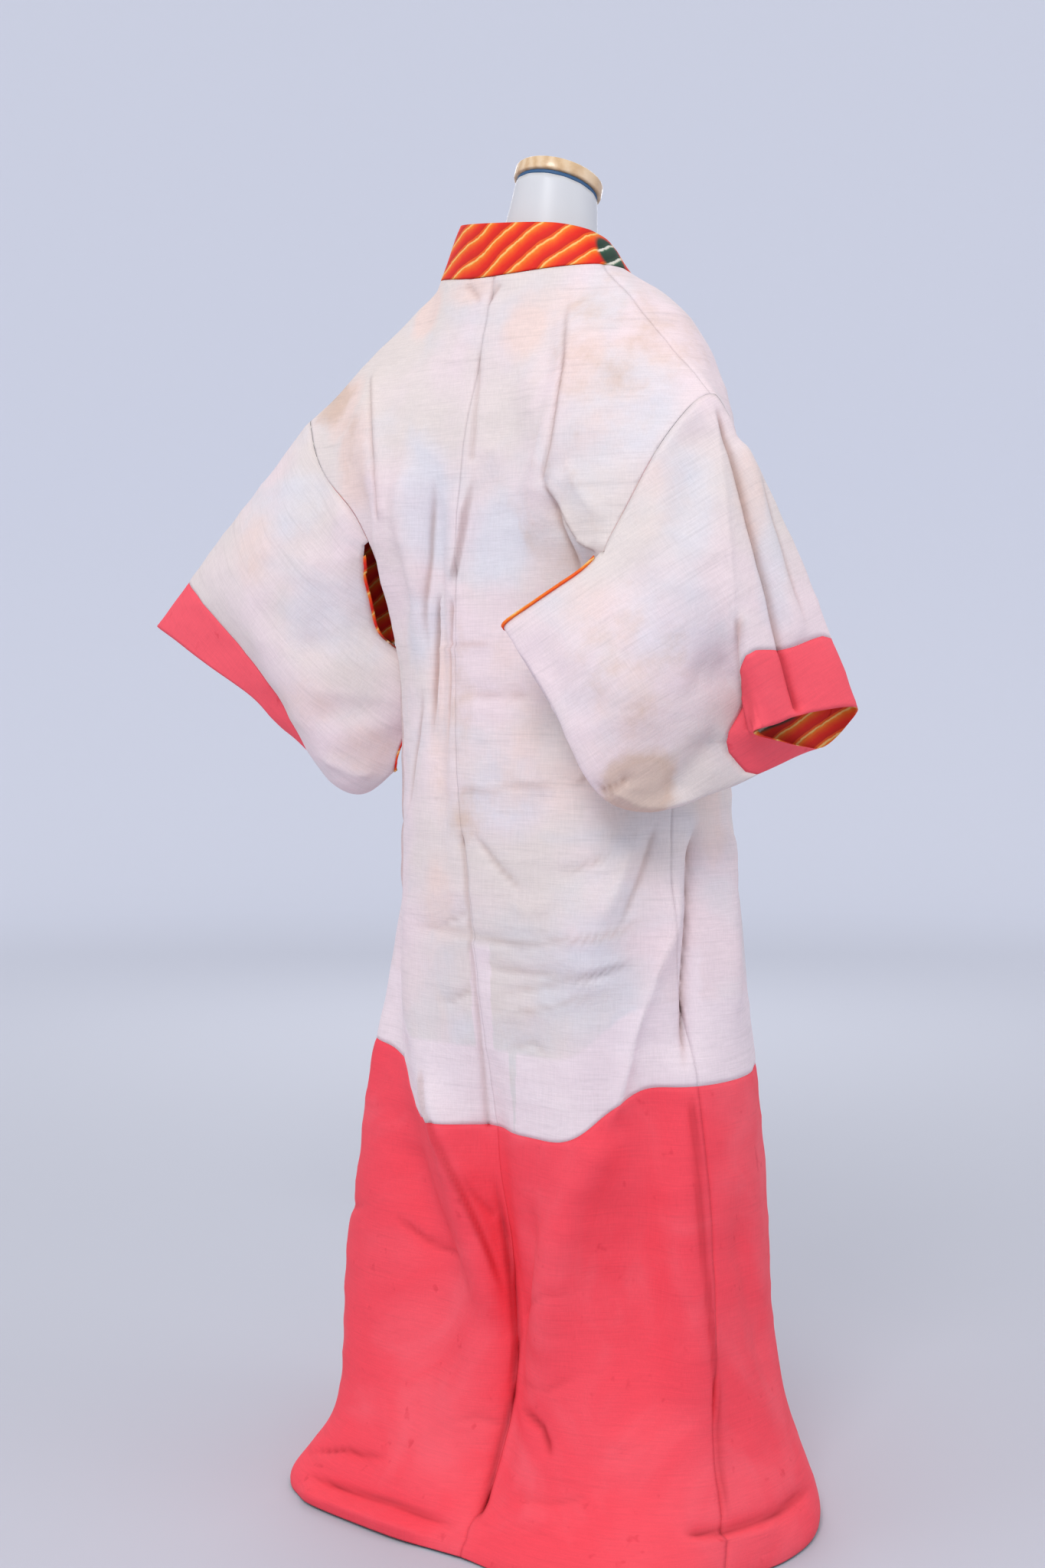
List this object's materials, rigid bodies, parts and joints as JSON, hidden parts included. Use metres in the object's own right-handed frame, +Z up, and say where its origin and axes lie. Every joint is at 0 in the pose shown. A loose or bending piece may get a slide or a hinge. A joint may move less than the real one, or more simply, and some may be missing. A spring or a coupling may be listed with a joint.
{
  "type": "kimono on dress form",
  "caption": "Lined kimono worn inside out on a limbless dress form with a pole and round base: crossed fronts, wide open sleeves, standing collar and pooled coral hem.",
  "frame": {"origin": "centre of the underside of the stand's base, on the floor", "axes": "+Z up; -Y towards the form's front; +X towards the wearer's left; the back faces +Y"},
  "size_m": [0.8944, 0.453, 1.453],
  "materials": {
    "lining": "thin slubbed lining, pinkish white, matt",
    "coral": "fine plain woven silk, soft sheen",
    "face_cloth": "satin weave with soft slanting stripes",
    "form_cover": "white stretch cover, matt",
    "band": "blue woven binding tape",
    "cap_wood": "clear lacquered beech",
    "stand": "satin"
  },
  "bodies": {
    "root": {"back_left_lining": "lining", "back_left_hem": "coral", "front_left_lining": "lining", "front_left_hem": "coral", "okumi_left_lining": "lining", "okumi_left_hem": "coral", "sleeve_left": "lining", "cuff_left": "coral", "back_right_lining": "lining", "back_right_hem": "coral", "front_right_lining": "lining", "front_right_hem": "coral", "okumi_right_lining": "lining", "okumi_right_hem": "coral", "sleeve_right": "lining", "cuff_right": "coral", "collar": "face_cloth", "form_torso": "form_cover", "neck_band": "band", "neck_cap": "cap_wood", "stand_pole": "stand", "stand_base": "stand"}
  },
  "joints": []
}
